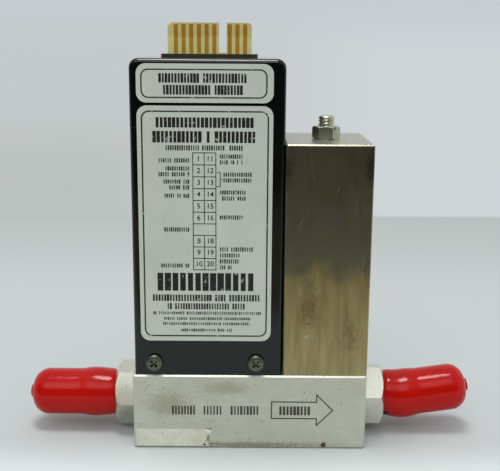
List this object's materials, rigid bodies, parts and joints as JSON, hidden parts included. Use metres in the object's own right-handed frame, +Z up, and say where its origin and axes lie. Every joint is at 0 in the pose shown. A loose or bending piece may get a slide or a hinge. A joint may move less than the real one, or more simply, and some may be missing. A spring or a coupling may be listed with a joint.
{
  "type": "mass flow controller",
  "caption": "Thermal mass flow controller for process gas: steel base with capped face seal fittings, black sensor cover with a card edge on top, and a steel housing over a solenoid valve.",
  "frame": {"origin": "centre of the base block's underside, the face that it is mounted on", "axes": "+X is the flow direction from the inlet to the outlet, -Y is the labelled front, +Z is up out of the base"},
  "size_m": [0.1518, 0.0406, 0.1375],
  "materials": {
    "base_steel": "fine brushed, machined from bar",
    "fitting_steel": "turned, bright",
    "cap_vinyl": "soft glossy red vinyl",
    "cover_paint": "glossy black enamel",
    "cover_screw": "dark plated",
    "label_foil": "printed silver foil",
    "sticker_paper": "faded, torn and stained",
    "gasket_rubber": "black, satin",
    "board_laminate": "cream glass laminate",
    "gold_contact": "gold plated, worn at the tips",
    "housing_steel": "vertical brushed",
    "nut_steel": "plain machined, one rust spot",
    "pole_steel": "turned, threaded stud",
    "inner_steel": "turned",
    "seal_rubber": "black, smooth",
    "seal_nickel": "soft nickel, polished",
    "inner_aluminium": "satin",
    "inner_screw": "plated",
    "copper_wire": "enamelled copper",
    "chip_plastic": "moulded, matte",
    "capacitor_sleeve": "shrink sleeve",
    "resistor_body": "lacquered",
    "trimmer_body": "moulded",
    "rotor_brass": "turned",
    "header_plastic": "moulded",
    "lead_insulation": "white sleeve",
    "bobbin_plastic": "glass filled"
  },
  "bodies": {
    "controller": {"base_block": "base_steel", "inlet_fitting": "fitting_steel", "outlet_fitting": "fitting_steel", "inlet_seal": "seal_nickel", "outlet_seal": "seal_nickel", "inlet_cap": "cap_vinyl", "outlet_cap": "cap_vinyl", "flow_splitter": "inner_steel", "sensor_block": "inner_steel", "sensor_port_seals": "seal_nickel", "sensor_tube": "inner_steel", "sensor_windings": "copper_wire", "sensor_can": "inner_aluminium", "sensor_screws": "inner_screw", "bar_screws": "inner_screw", "cover_bars": "inner_aluminium", "board_brackets": "inner_aluminium", "bracket_screws": "inner_screw", "board_screws": "inner_screw", "cover_screws": "cover_screw", "circuit_board": "board_laminate", "edge_contacts": "gold_contact", "integrated_circuits": "chip_plastic", "capacitors": "capacitor_sleeve", "resistors": "resistor_body", "driver_transistor": "chip_plastic", "trimmer_bodies": "trimmer_body", "valve_header": "header_plastic", "valve_leads": "lead_insulation", "lead_grommet": "seal_rubber", "cover": "cover_paint", "card_gasket": "gasket_rubber", "nameplate_upper": "label_foil", "nameplate_lower": "label_foil", "serial_sticker": "sticker_paper", "valve_housing": "housing_steel", "valve_nut": "nut_steel", "valve_stem": "inner_steel", "pole_piece": "pole_steel", "plunger_spring": "inner_steel", "valve_seat": "inner_steel", "seat_seal": "seal_nickel", "stem_seal": "seal_nickel", "flux_plate": "inner_steel", "coil_bobbin": "bobbin_plastic", "coil_winding": "copper_wire", "coil_pad": "seal_rubber"},
    "plunger": {"valve_plunger": "inner_steel", "plunger_pad": "seal_rubber"},
    "zero_rotor": {"zero_rotor": "rotor_brass"},
    "span_rotor": {"span_rotor": "rotor_brass"}
  },
  "joints": [
    {"name": "plunger_slide", "type": "slide", "parent": "controller", "child": "plunger", "axis": [0, 0, 1], "range_m": [0, 0.0004], "stiffness_N_per_m": 2000, "springref_m": -0.002, "deforming": ["plunger_spring"]},
    {"name": "zero_trim", "type": "hinge", "parent": "controller", "child": "zero_rotor", "pos_m": [-0.021, 0.0052, 0.114], "axis": [0, -1, 0], "range_deg": [-135, 135]},
    {"name": "span_trim", "type": "hinge", "parent": "controller", "child": "span_rotor", "pos_m": [-0.007, 0.0052, 0.114], "axis": [0, -1, 0], "range_deg": [-135, 135]}
  ]
}
